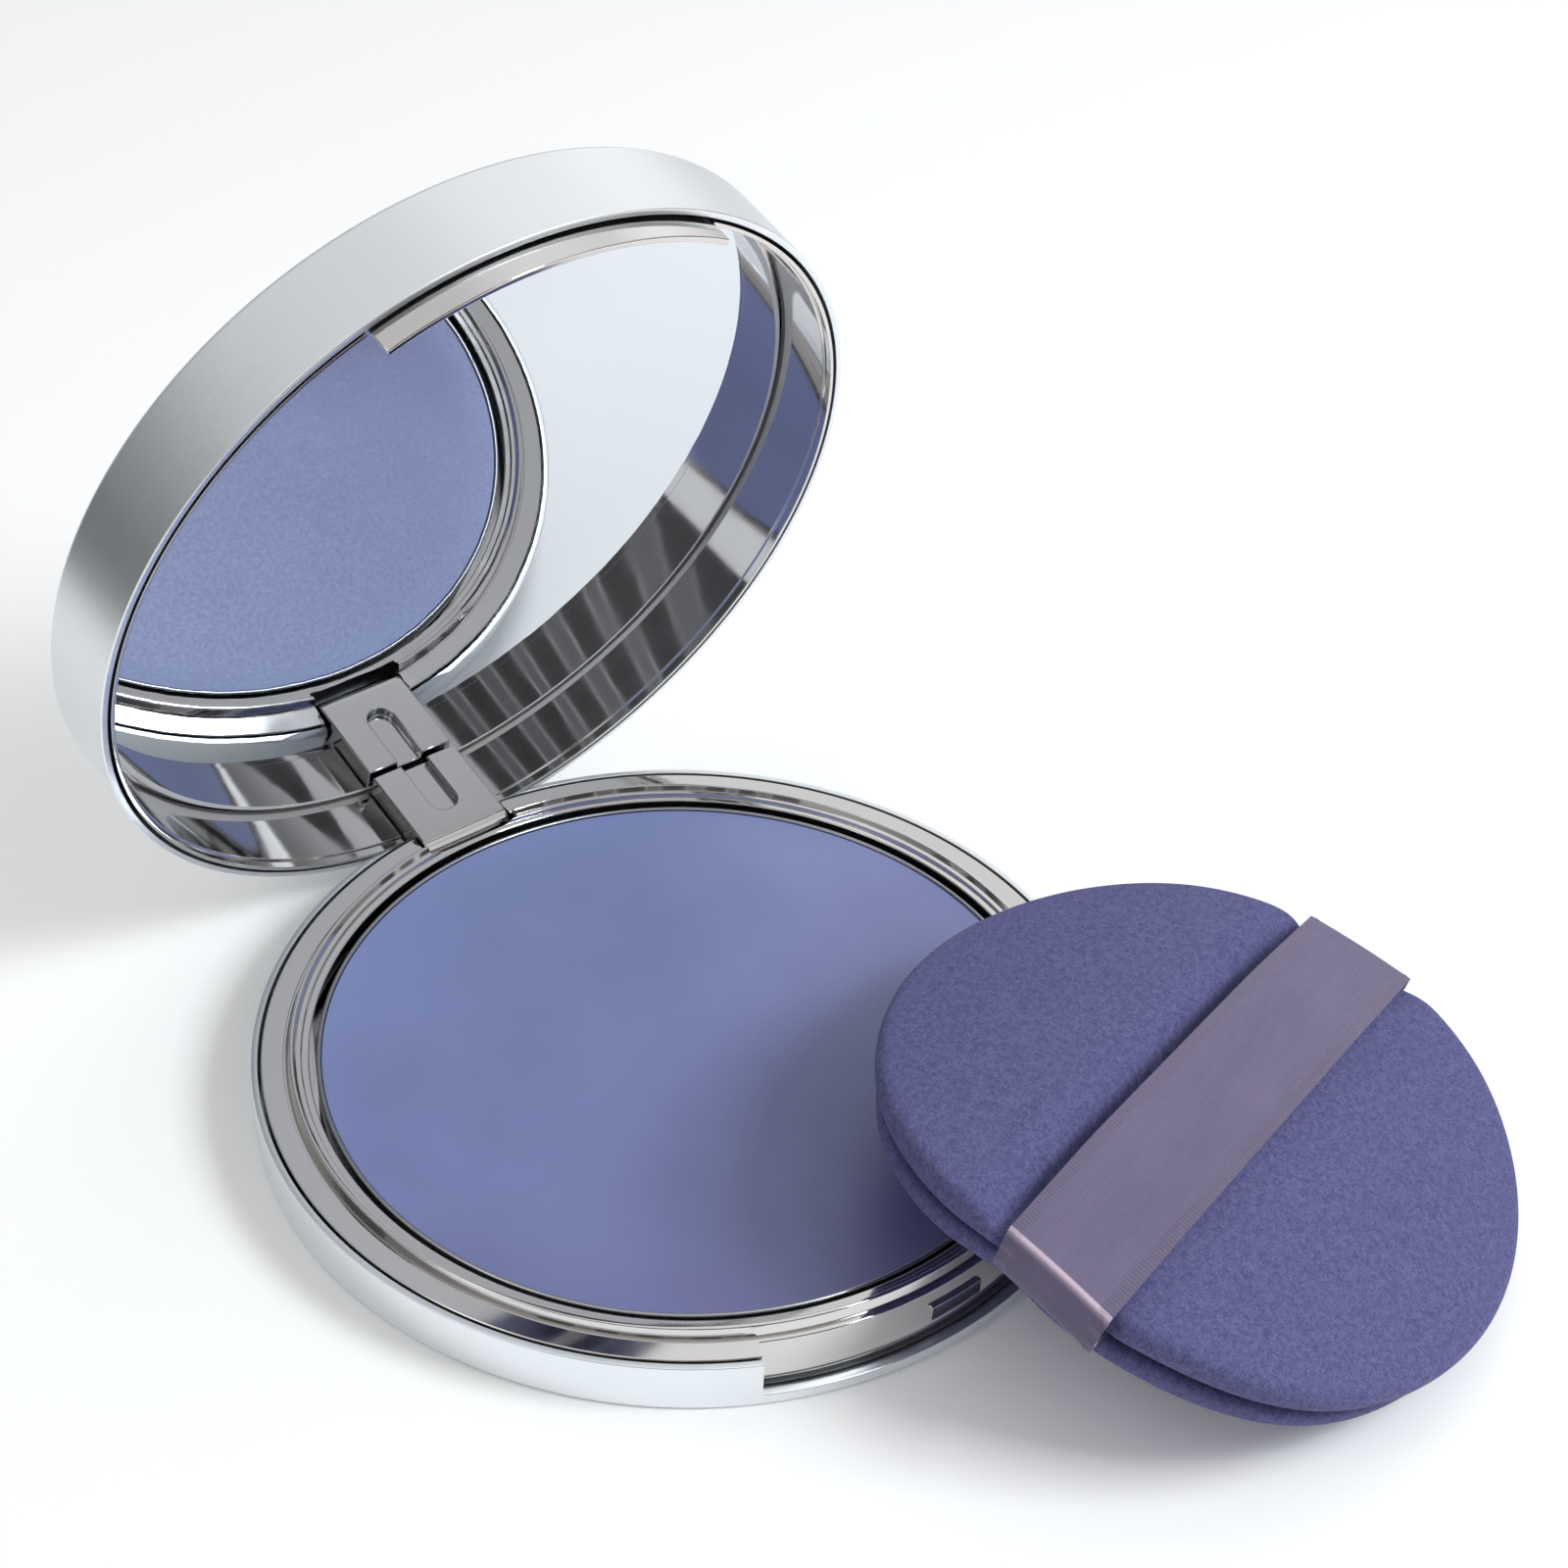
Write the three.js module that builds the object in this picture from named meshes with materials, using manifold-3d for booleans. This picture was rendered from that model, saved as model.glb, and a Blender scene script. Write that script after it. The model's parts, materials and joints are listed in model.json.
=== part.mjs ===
// Round powder compact with a mirrored lid, a cream-filled pan and a ribboned puff.
// Millimetres, +Z up. The origin is the centre of the base's underside. The hinge is at +Y
// and the thumb notch at -Y. The lid is modelled shut and then opened about its hinge.
import * as THREE from 'three';
import { mergeVertices } from 'three/addons/utils/BufferGeometryUtils.js';
import Module from 'manifold-3d';

const wasm = await Module();
wasm.setup();

// ---- driving dimensions -------------------------------------------------------------------
const CASE_R = 35.3;             // outer radius of base and lid
const SIDE_WALL = 0.55;          // thickness of both satin side walls
const PIECE_GAP = 0.25;          // clearance between neighbouring pieces
const ROUND_STEPS = 72;          // facets round a full turn

const BASE_H = 4.5;              // ledge that the lid closes on
const BASE_FLOOR = 0.7;
const COLLAR_TOP = 5.3;          // raised collar that centres the lid
const COLLAR_R = 32.3;
const WELL_R = 30.65;            // well that holds the pan

const PAN_R = 30.1;
const PAN_WALL = 0.4;
const PAN_BOTTOM = 1.75;
const PAN_TOP = 4.3;
const CREAM_TOP = 4.1;
const PAN_ADHESIVE_R = 26;
const PAN_ADHESIVE_Z = 1.4;

const NOTCH_HALF = 28;           // half angle of the thumb notch in degrees
const NOTCH_BOTTOM = 1.2;
const SKIRT_R = 33.5;            // chrome wall behind the notch
const NIB_HALF = 4.2;            // half angle of the catch nib in degrees
const NIB_LOW = 1.5;
const NIB_HIGH = 3.4;

const HINGE_Y = 33.5;
const HINGE_Z = 2.73;
const BARREL_R = 1.85;           // rear edge of the base, rounded about the hinge axis
const RELIEF_HALF = 11.6;        // half width of that rounding
const PIN_R = 0.6;
const PIN_HALF = 7.0;
const PIN_PLAY = 0.2;
const SADDLE_FRONT = 31.7;       // the two saddles the pin lies in start here

const KNUCKLE_HALF = 4.3;        // half width of the lid's hinge knuckle
const KNUCKLE_FRONT = 31.3;
const KNUCKLE_R = 1.6;
const KNUCKLE_BACK = 34.0;
const RECESS_HALF = 1.3;         // finger-shaped recess in the knuckle's face
const RECESS_FOOT = 6.2;
const RECESS_DEPTH = 0.8;
const SLOT_HALF = KNUCKLE_HALF + PIECE_GAP;

const LID_OPEN = 75.5;           // opening angle in degrees
const LID_RIM = 4.8;
const LID_TOP = 13.0;
const LID_CEILING = 12.45;
const LINER_IN = 33.9;
const LINER_OUT = CASE_R - SIDE_WALL - PIECE_GAP - 0.05;
const LINER_FLANGE = 12.05;
const MIRROR_R = 33.6;
const MIRROR_Z = 11.25;
const MIRROR_T = 0.7;
const FLANGE_R = 28.8;           // the flange's round opening, which the mirror's adhesive fills
const MIRROR_ADHESIVE_Z = 12.0;
const MIRROR_ADHESIVE_T = 0.35;

const TONGUE_HALF = 26.3;        // half angle of the latch tongue in degrees
const TONGUE_TIP = 2.5;
const TONGUE_ROOT = 7.0;
const BEAD_H = 0.5;

const PUFF_R = 26.95;
const PUFF_CENTRE = [22.8, -36.9, 13.8];
const PUFF_TURN = 16.8;          // heading of the ribbon, degrees from +X
const PUFF_DIP = 6.65;           // the ribbon's far end is lower by this many degrees
const PUFF_LEAN = 10.2;          // the side over the base is raised by this many degrees
const PUFF_BEND_R = 82;          // the puff droops both ways from its ribbon on this radius
const PAD_T = 2.4;
const PAD_SPACE = 0.8;           // recessed bond line between the two pads
const PAD_FACE_T = 2.6;
const PAD_FACE_CROWN = 2.8;
const PAD_BACK_CROWN = 0.5;
const PAD_EDGE = 1.1;            // edge rounding
const FILM_R = 22.5;
const FILM_T = 0.4;
const RIBBON_W = 9.45;
const RIBBON_T = 0.35;
const RIBBON_LIFT = 0.4;         // air under the ribbon
const RIBBON_TUCK = 23.4;        // how far in the ribbon's ends are glued

// ---- materials ----------------------------------------------------------------------------
const finish = (color, roughness, metalness) =>
  new THREE.MeshStandardMaterial({ color, roughness, metalness });
const SATIN = finish(0xc9cdd1, 0.38, 0.9);
const CHROME = finish(0xb4b4b4, 0.08, 1.0);
const STEEL = finish(0x9a9a9c, 0.3, 1.0);
const ALUMINIUM = finish(0xd5d6d8, 0.3, 1.0);
const MIRROR = finish(0xe4e8ea, 0.02, 1.0);
const GLUE = finish(0xe6e2d6, 0.7, 0.0);
const CREAM = finish(0x787fad, 0.55, 0.0);
const PUFF = finish(0x60608e, 0.95, 0.0);
const RIBBON = finish(0x7d7896, 0.5, 0.0);

// ---- solids -------------------------------------------------------------------------------
const radians = THREE.MathUtils.degToRad;

function toSolid(geometry) {
  const bare = geometry.clone();
  bare.deleteAttribute('normal');
  bare.deleteAttribute('uv');
  const merged = mergeVertices(bare, 1e-4);
  const index = merged.index.array;
  const triVerts = [];
  for (let i = 0; i < index.length; i += 3) {
    const [a, b, c] = [index[i], index[i + 1], index[i + 2]];
    if (a !== b && b !== c && c !== a) triVerts.push(a, b, c);
  }
  return new wasm.Manifold(new wasm.Mesh({
    numProp: 3,
    vertProperties: new Float32Array(merged.attributes.position.array),
    triVerts: new Uint32Array(triVerts),
  }));
}

function toGeometry(solid) {
  const mesh = solid.getMesh();
  const geometry = new THREE.BufferGeometry();
  geometry.setAttribute('position', new THREE.BufferAttribute(mesh.vertProperties, 3));
  geometry.setIndex(new THREE.BufferAttribute(mesh.triVerts, 1));
  geometry.computeVertexNormals();
  return geometry;
}

// A profile of [radius, height] points turned about Z. It runs with its material on the left.
function turned(profile, steps = ROUND_STEPS) {
  const points = profile.map(([r, z]) => new THREE.Vector2(r, z));
  return new THREE.LatheGeometry(points, steps).rotateX(Math.PI / 2);
}

function block(x0, x1, y0, y1, z0, z1) {
  return new THREE.BoxGeometry(x1 - x0, y1 - y0, z1 - z0)
    .translate((x0 + x1) / 2, (y0 + y1) / 2, (z0 + z1) / 2);
}

// A round bar along X, on the hinge axis.
function hingeBar(radius, half, steps = 32) {
  return new THREE.CylinderGeometry(radius, radius, 2 * half, steps)
    .rotateZ(Math.PI / 2)
    .translate(0, HINGE_Y, HINGE_Z);
}

// A ring sector centred on the front of the compact.
function frontSector(inner, outer, halfDegrees, z0, z1, steps = 20) {
  const from = radians(-90 - halfDegrees);
  const to = radians(-90 + halfDegrees);
  const shape = new THREE.Shape();
  shape.absarc(0, 0, outer, from, to, false);
  shape.absarc(0, 0, inner, to, from, true);
  shape.closePath();
  return new THREE.ExtrudeGeometry(shape, {
    depth: z1 - z0, bevelEnabled: false, curveSegments: steps,
  }).translate(0, 0, z0);
}

// Room for the lid's rear wall, which swings down behind the hinge axis.
function hingeRelief() {
  const corner = block(-RELIEF_HALF, RELIEF_HALF, HINGE_Y, CASE_R + 2, HINGE_Z, COLLAR_TOP + 2);
  return toSolid(corner).subtract(toSolid(hingeBar(BARREL_R, RELIEF_HALF + 1, 48)));
}

function knuckleSlot(z0) {
  const front = KNUCKLE_FRONT - PIECE_GAP;
  return toSolid(block(-SLOT_HALF, SLOT_HALF, front, CASE_R + 2, z0, COLLAR_TOP + 2));
}

// ---- base ---------------------------------------------------------------------------------
function baseShell() {
  const wallIn = CASE_R - SIDE_WALL;
  const cup = toSolid(turned([
    [0, 0], [CASE_R - 0.45, 0], [CASE_R - 0.12, 0.3], [CASE_R, 1.2],
    [CASE_R, BASE_H - 0.12], [CASE_R - 0.12, BASE_H], [wallIn, BASE_H],
    [wallIn, BASE_FLOOR], [0, BASE_FLOOR],
  ]));
  const saddleTop = HINGE_Z + PIN_R + 0.15;
  const saddleHalf = PIN_HALF + 0.8;
  const saddleBlock = block(-saddleHalf, saddleHalf, SADDLE_FRONT, wallIn, BASE_FLOOR - 0.2, saddleTop);
  const withinWall = turned([[0, 0], [CASE_R - 0.2, 0], [CASE_R - 0.2, BASE_H], [0, BASE_H]]);
  const saddles = toSolid(saddleBlock).intersect(toSolid(withinWall));
  const grooveR = PIN_R + PIN_PLAY;
  const grooveHalf = PIN_HALF + 0.3;
  const grooveMouth = block(-grooveHalf, grooveHalf, HINGE_Y - grooveR, HINGE_Y + grooveR, HINGE_Z, BASE_H);
  const groove = toSolid(hingeBar(grooveR, grooveHalf)).add(toSolid(grooveMouth));
  const notch = toSolid(frontSector(wallIn - 0.5, CASE_R + 1, NOTCH_HALF, NOTCH_BOTTOM, BASE_H + 1));
  return toGeometry(cup.add(saddles).subtract(groove).subtract(notch)
    .subtract(knuckleSlot(BASE_FLOOR)).subtract(hingeRelief()));
}

function baseBezel() {
  const under = BASE_FLOOR + 0.15;
  const floorTop = 1.3;
  const ledgeUnder = 3.6;
  const wellOut = WELL_R + 0.55;
  const rimOut = CASE_R - SIDE_WALL - PIECE_GAP;
  const dish = toSolid(turned([
    [0, under], [wellOut, under], [wellOut, ledgeUnder], [rimOut, ledgeUnder], [rimOut, BASE_H],
    [COLLAR_R + 0.25, BASE_H], [COLLAR_R, BASE_H + 0.15], [COLLAR_R - 0.1, COLLAR_TOP - 0.15],
    [COLLAR_R - 0.25, COLLAR_TOP], [COLLAR_R - 0.55, COLLAR_TOP], [COLLAR_R - 0.65, COLLAR_TOP - 0.3],
    [COLLAR_R - 1.05, COLLAR_TOP - 0.35], [COLLAR_R - 1.1, COLLAR_TOP - 0.65],
    [WELL_R + 0.15, COLLAR_TOP - 0.7], [WELL_R, COLLAR_TOP - 0.85], [WELL_R, floorTop], [0, floorTop],
  ]));
  const cutaway = toSolid(frontSector(SKIRT_R, CASE_R + 1, NOTCH_HALF, ledgeUnder - 1, BASE_H + 1));
  const skirt = toSolid(frontSector(SKIRT_R - 0.5, SKIRT_R, NOTCH_HALF, under, BASE_H - 0.2));
  const nib = toSolid(frontSector(SKIRT_R - 0.2, SKIRT_R + 0.2, NIB_HALF, NIB_LOW, NIB_HIGH, 6));
  return toGeometry(dish.subtract(cutaway).add(skirt).add(nib)
    .subtract(knuckleSlot(-1)).subtract(hingeRelief()));
}

function panAdhesive() {
  const top = PAN_ADHESIVE_Z + 0.25;
  return turned([[0, PAN_ADHESIVE_Z], [PAN_ADHESIVE_R, PAN_ADHESIVE_Z], [PAN_ADHESIVE_R, top], [0, top]]);
}

function panTray() {
  const inside = PAN_R - PAN_WALL;
  return turned([
    [0, PAN_BOTTOM], [PAN_R - 0.4, PAN_BOTTOM], [PAN_R, PAN_BOTTOM + 0.4], [PAN_R, PAN_TOP],
    [inside, PAN_TOP], [inside, PAN_BOTTOM + 0.35], [0, PAN_BOTTOM + 0.35],
  ]);
}

function creamFill() {
  const radius = PAN_R - PAN_WALL - 0.05;
  const bottom = PAN_BOTTOM + 0.4;
  return turned([
    [0, bottom], [radius, bottom], [radius, CREAM_TOP], [radius - 0.7, CREAM_TOP - 0.05],
    [radius - 2.2, CREAM_TOP - 0.15], [0, CREAM_TOP - 0.15],
  ]);
}

// ---- lid, drawn shut ----------------------------------------------------------------------
function lidShell() {
  const wallIn = CASE_R - SIDE_WALL;
  return turned([
    [0, LID_CEILING], [wallIn, LID_CEILING], [wallIn, LID_RIM], [CASE_R - 0.1, LID_RIM],
    [CASE_R, LID_RIM + 0.1], [CASE_R, LID_TOP - 0.6], [CASE_R - 0.18, LID_TOP - 0.18],
    [CASE_R - 0.6, LID_TOP], [0, LID_TOP],
  ]);
}

function lidLiner() {
  const top = LID_CEILING - 0.1;
  const ring = toSolid(turned([
    [LINER_IN, LID_RIM], [LINER_OUT, LID_RIM], [LINER_OUT, top], [FLANGE_R, top],
    [FLANGE_R, LINER_FLANGE], [LINER_IN, LINER_FLANGE], [LINER_IN, LID_RIM],
  ]));
  const tonguePocket = toSolid(frontSector(LINER_IN - 1, LINER_OUT + 1, TONGUE_HALF + 0.4,
    LID_RIM - 1, TONGUE_ROOT + PIECE_GAP));
  const knuckleRoom = toSolid(block(-SLOT_HALF, SLOT_HALF, KNUCKLE_FRONT - 1, CASE_R + 1,
    LID_RIM - 1, MIRROR_Z));
  return toGeometry(ring.subtract(tonguePocket).subtract(knuckleRoom));
}

function mirrorAdhesive() {
  const radius = FLANGE_R - 0.4;
  const top = MIRROR_ADHESIVE_Z + MIRROR_ADHESIVE_T;
  return turned([[0, MIRROR_ADHESIVE_Z], [radius, MIRROR_ADHESIVE_Z], [radius, top], [0, top]]);
}

function mirrorGlass() {
  const back = MIRROR_Z + MIRROR_T;
  return turned([
    [0, MIRROR_Z], [MIRROR_R - 0.3, MIRROR_Z], [MIRROR_R, MIRROR_Z + 0.2], [MIRROR_R, back], [0, back],
  ]);
}

// The tongue springs past the nib in the notch. A bead stiffens its tip.
function latchTongue() {
  const plate = toSolid(frontSector(LINER_IN, LINER_OUT, TONGUE_HALF, TONGUE_TIP, TONGUE_ROOT));
  const low = TONGUE_TIP + 0.2;
  const bead = frontSector(LINER_IN - 0.12, LINER_IN + 0.1, TONGUE_HALF - 3, low, low + BEAD_H);
  return toGeometry(plate.add(toSolid(bead)));
}

// The knuckle fills the liner's gap, reaches down into the base and turns on the pin.
function hingeKnuckle() {
  const top = MIRROR_Z - PIECE_GAP;
  const outline = new THREE.Shape();
  outline.moveTo(KNUCKLE_FRONT, top);
  outline.lineTo(KNUCKLE_FRONT, HINGE_Z + 0.1);
  outline.quadraticCurveTo(KNUCKLE_FRONT + 0.2, HINGE_Z - KNUCKLE_R, HINGE_Y, HINGE_Z - KNUCKLE_R);
  outline.absarc(HINGE_Y, HINGE_Z, KNUCKLE_R, -Math.PI / 2, 0, false);
  outline.lineTo(KNUCKLE_BACK, LID_RIM + 0.1);
  outline.lineTo(KNUCKLE_BACK, top);
  outline.closePath();
  const body = new THREE.ExtrudeGeometry(outline, {
    depth: 2 * KNUCKLE_HALF, bevelEnabled: false, curveSegments: 10,
  });
  // The outline's X and Y become the part's Y and Z, and its depth runs along X.
  body.applyMatrix4(new THREE.Matrix4().makeBasis(
    new THREE.Vector3(0, 1, 0), new THREE.Vector3(0, 0, 1), new THREE.Vector3(1, 0, 0)));
  body.translate(-KNUCKLE_HALF, 0, 0);
  const recess = new THREE.Shape();
  recess.absarc(0, RECESS_FOOT, RECESS_HALF, Math.PI, 0, false);
  recess.lineTo(RECESS_HALF, top + 1);
  recess.lineTo(-RECESS_HALF, top + 1);
  recess.closePath();
  const recessCut = new THREE.ExtrudeGeometry(recess, {
    depth: 2 * RECESS_DEPTH, bevelEnabled: false, curveSegments: 10,
  }).rotateX(Math.PI / 2).translate(0, KNUCKLE_FRONT + RECESS_DEPTH, 0);
  return toGeometry(toSolid(body).subtract(toSolid(hingeBar(PIN_R + PIN_PLAY, KNUCKLE_HALF + 1)))
    .subtract(toSolid(recessCut)));
}

// ---- puff, drawn flat with its ribbon along X, then drooped about the ribbon ---------------
const PUFF_STEP = PUFF_R / 5;    // longest facet that is bent

function disc(profile) {
  const points = [profile[0]];
  profile.slice(1).forEach(([r, z], i) => {
    const [r0, z0] = profile[i];
    const parts = Math.max(1, Math.ceil(Math.abs(r - r0) / PUFF_STEP));
    for (let k = 1; k <= parts; k += 1) {
      const share = k / parts;
      points.push([r0 + (r - r0) * share, z0 + (z - z0) * share]);
    }
  });
  return drooped(turned(points, 44));
}

function drooped(geometry) {
  const position = geometry.attributes.position;
  for (let i = 0; i < position.count; i += 1) {
    const angle = position.getY(i) / PUFF_BEND_R;
    const radius = PUFF_BEND_R + position.getZ(i);
    position.setY(i, radius * Math.sin(angle));
    position.setZ(i, radius * Math.cos(angle) - PUFF_BEND_R);
  }
  geometry.computeVertexNormals();
  return geometry;
}

function backPad() {
  const r = PUFF_R;
  return disc([
    [0, -PAD_T], [r - 0.9, -PAD_T], [r - 0.2, -PAD_T + 0.6], [r, -PAD_T + 1.3],
    [r - 0.25, -0.45], [r - PAD_EDGE, 0], [r * 0.8, PAD_BACK_CROWN * 0.6],
    [r * 0.5, PAD_BACK_CROWN], [0, PAD_BACK_CROWN],
  ]);
}

function facePad() {
  const r = PUFF_R;
  const top = -PAD_T - PAD_SPACE;
  const bottom = top - PAD_FACE_T;
  return disc([
    [0, bottom - PAD_FACE_CROWN], [r * 0.5, bottom - PAD_FACE_CROWN * 0.8],
    [r * 0.8, bottom - PAD_FACE_CROWN * 0.3], [r - PAD_EDGE, bottom + 0.1], [r - 0.25, bottom + 0.6],
    [r, top - 1.1], [r - 0.2, top - 0.5], [r - 0.9, top], [0, top],
  ]);
}

function bondFilm() {
  const top = -PAD_T - (PAD_SPACE - FILM_T) / 2;
  return disc([[0, top - FILM_T], [FILM_R, top - FILM_T], [FILM_R, top], [0, top]]);
}

// The ribbon crosses the back pad, turns down its side and is glued between the pads.
function ribbon() {
  const over = PAD_BACK_CROWN + RIBBON_LIFT;
  const side = PUFF_R + 0.35;
  const tail = -PAD_T - PAD_SPACE / 2;
  const half = [
    [0, over], [PUFF_R * 0.5, over], [PUFF_R * 0.8, over - 0.15], [side - 1.0, 0.45],
    [side - 0.2, -0.1], [side, -0.9], [side, tail + 0.9], [side - 0.5, tail + 0.1],
    [RIBBON_TUCK, tail + 0.1],
  ];
  const line = [...half.slice(1).reverse().map(([u, z]) => [-u, z]), ...half];
  const outer = [];
  const inner = [];
  line.forEach(([u, z], i) => {
    const before = line[Math.max(i - 1, 0)];
    const after = line[Math.min(i + 1, line.length - 1)];
    const along = new THREE.Vector2(after[0] - before[0], after[1] - before[1]).normalize();
    const shift = new THREE.Vector2(-along.y, along.x).multiplyScalar(RIBBON_T / 2);
    outer.push(new THREE.Vector2(u + shift.x, z + shift.y));
    inner.unshift(new THREE.Vector2(u - shift.x, z - shift.y));
  });
  const strip = new THREE.ExtrudeGeometry(new THREE.Shape([...outer, ...inner]), {
    depth: RIBBON_W, steps: 4, bevelEnabled: false,
  });
  return drooped(strip.translate(0, 0, -RIBBON_W / 2).rotateX(Math.PI / 2));
}

// ---- assembly -----------------------------------------------------------------------------
function piece(parent, name, geometry, material) {
  const mesh = new THREE.Mesh(geometry, material);
  mesh.name = name;
  parent.add(mesh);
}

const group = new THREE.Group();

piece(group, 'base_shell', baseShell(), SATIN);
piece(group, 'base_bezel', baseBezel(), CHROME);
piece(group, 'pan_adhesive', panAdhesive(), GLUE);
piece(group, 'pan_tray', panTray(), ALUMINIUM);
piece(group, 'cream_fill', creamFill(), CREAM);
piece(group, 'hinge_pin', hingeBar(PIN_R, PIN_HALF, 20), STEEL);

const lidPivot = new THREE.Group();
lidPivot.position.set(0, HINGE_Y, HINGE_Z);
lidPivot.rotation.x = -radians(LID_OPEN);
const lid = new THREE.Group();
lid.position.set(0, -HINGE_Y, -HINGE_Z);
lidPivot.add(lid);
group.add(lidPivot);

piece(lid, 'lid_shell', lidShell(), SATIN);
piece(lid, 'lid_liner', lidLiner(), CHROME);
piece(lid, 'hinge_knuckle', hingeKnuckle(), CHROME);
piece(lid, 'latch_tongue', latchTongue(), CHROME);
piece(lid, 'mirror_adhesive', mirrorAdhesive(), GLUE);
piece(lid, 'mirror_glass', mirrorGlass(), MIRROR);

// The puff leans on the front right of the base. Its axes run along the ribbon, towards the raised
// side and out of its back.
const heading = radians(PUFF_TURN);
const dip = radians(PUFF_DIP);
const lean = radians(PUFF_LEAN);
const ribbonAxis = new THREE.Vector3(
  Math.cos(heading) * Math.cos(dip), Math.sin(heading) * Math.cos(dip), -Math.sin(dip));
const level = new THREE.Vector3(-Math.sin(heading), Math.cos(heading), 0);
const upright = new THREE.Vector3().crossVectors(ribbonAxis, level);
const raisedSide = level.clone().multiplyScalar(Math.cos(lean))
  .addScaledVector(upright, Math.sin(lean));
const backAxis = new THREE.Vector3().crossVectors(ribbonAxis, raisedSide);
const puff = new THREE.Group();
puff.setRotationFromMatrix(new THREE.Matrix4().makeBasis(ribbonAxis, raisedSide, backAxis));
puff.position.set(...PUFF_CENTRE);
group.add(puff);

piece(puff, 'puff_back_pad', backPad(), PUFF);
piece(puff, 'puff_bond_film', bondFilm(), GLUE);
piece(puff, 'puff_face_pad', facePad(), PUFF);
piece(puff, 'puff_ribbon', ribbon(), RIBBON);

export default group;
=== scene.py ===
"""Looks of the powder compact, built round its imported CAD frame. Lengths are in metres."""
import json
import math

import bmesh
import bpy
import numpy as np
from mathutils import Matrix, Vector


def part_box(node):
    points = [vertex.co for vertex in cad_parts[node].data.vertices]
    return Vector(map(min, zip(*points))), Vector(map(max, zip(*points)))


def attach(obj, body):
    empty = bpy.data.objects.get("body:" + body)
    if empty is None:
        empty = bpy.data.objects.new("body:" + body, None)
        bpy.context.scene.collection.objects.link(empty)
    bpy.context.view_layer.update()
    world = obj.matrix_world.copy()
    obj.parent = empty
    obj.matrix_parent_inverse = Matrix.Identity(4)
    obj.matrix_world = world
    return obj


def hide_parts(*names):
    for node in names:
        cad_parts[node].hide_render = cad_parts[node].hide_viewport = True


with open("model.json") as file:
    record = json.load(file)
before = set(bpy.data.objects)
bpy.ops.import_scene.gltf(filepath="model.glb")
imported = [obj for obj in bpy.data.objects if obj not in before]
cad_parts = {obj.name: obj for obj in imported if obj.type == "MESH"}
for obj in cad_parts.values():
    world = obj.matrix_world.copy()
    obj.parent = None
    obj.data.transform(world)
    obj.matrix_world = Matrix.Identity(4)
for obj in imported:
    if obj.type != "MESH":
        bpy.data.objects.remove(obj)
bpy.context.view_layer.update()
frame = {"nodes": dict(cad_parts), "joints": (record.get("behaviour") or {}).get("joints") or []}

# ---- driving dimensions ---------------------------------------------------------------------
MM = 0.001
TURN_STEPS = 264                  # facets round a full turn
FRONT = math.radians(-90)         # the thumb notch is here
REAR = math.radians(90)           # the hinge is here
EDGE_ANGLE = math.radians(0.03)   # how quickly a cut wall steps down

JOINTS = {j["name"]: j for j in frame["joints"]}
HINGE = Vector(JOINTS["lid_hinge"]["pos_m"])
LID_OPEN = math.radians(JOINTS["lid_hinge"]["range_deg"][1])
LID_PLACE = Matrix.Translation(HINGE) @ Matrix.Rotation(-LID_OPEN, 4, "X") @ Matrix.Translation(-HINGE)


def shut_box(node):
    """A lid node's lowest and highest corner with the lid shut."""
    back = LID_PLACE.inverted()
    corners = np.array([back @ v.co for v in frame["nodes"][node].data.vertices])
    return Vector(corners.min(0)), Vector(corners.max(0))


CASE_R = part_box("base_shell")[1].x
BASE_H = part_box("base_shell")[1].z
COLLAR_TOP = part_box("base_bezel")[1].z
BEZEL_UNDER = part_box("base_bezel")[0].z
BEZEL_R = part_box("base_bezel")[1].x
PAN_LOW, PAN_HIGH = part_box("pan_tray")
CREAM_LOW, CREAM_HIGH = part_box("cream_fill")
LID_RIM = shut_box("lid_shell")[0].z
LID_TOP = shut_box("lid_shell")[1].z
MIRROR_LOW, MIRROR_HIGH = shut_box("mirror_glass")
TONGUE_LOW, TONGUE_HIGH = shut_box("latch_tongue")
KNUCKLE_LOW, KNUCKLE_HIGH = shut_box("hinge_knuckle")
LINER_HIGH = shut_box("lid_liner")[1]

SIDE_WALL = 0.55 * MM             # thickness of the satin shells
BASE_FLOOR = 0.7 * MM
COLLAR_R = 32.3 * MM              # outside of the bezel's raised collar
WELL_R = 30.65 * MM               # the bezel's well, which the pan lies in
LINER_R = 33.9 * MM
FLANGE_R = 28.8 * MM              # round opening of the flange that the mirror lies on
NOTCH_HALF = math.radians(28)
NOTCH_BOTTOM = 1.2 * MM
TONGUE_HALF = math.asin(TONGUE_HIGH.x / LINER_HIGH.x)
BARREL_R = 1.85 * MM              # the base's rear edge is rounded about the hinge on this radius
RELIEF_HALF = 11.6 * MM           # half width of that rounding
KNUCKLE_GAP = 0.25 * MM           # room round the knuckle in the base

PUFF_R = 26.95 * MM
PUFF_CENTRE = Vector((22.8, -36.9, 13.8)) * MM
PUFF_TURN = math.radians(16.8)    # from +X to the ribbon's direction
PUFF_DIP = math.radians(6.65)     # how far the ribbon's far end points down
PUFF_LEAN = math.radians(10.2)    # how far the side next to the pan is raised
PUFF_BEND_R = 82 * MM             # the puff droops on both sides of the ribbon on this radius
PAD_T = 2.4 * MM                  # the back pad's thickness
PAD_SPACE = 0.8 * MM              # between the two pads
FACE_EDGE_T = 1.7 * MM            # the face pad's thickness at its edge
FACE_DEPTH = 5.2 * MM             # the face pad's thickness in its middle
RIBBON_W = 9.6 * MM
RIBBON_T = 0.26 * MM
RIBBON_OFF = -0.5 * MM            # the ribbon lies this far to one side of the middle
RIBBON_FOLD = 26.0 * MM           # it is creased this far from the puff's middle


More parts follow.
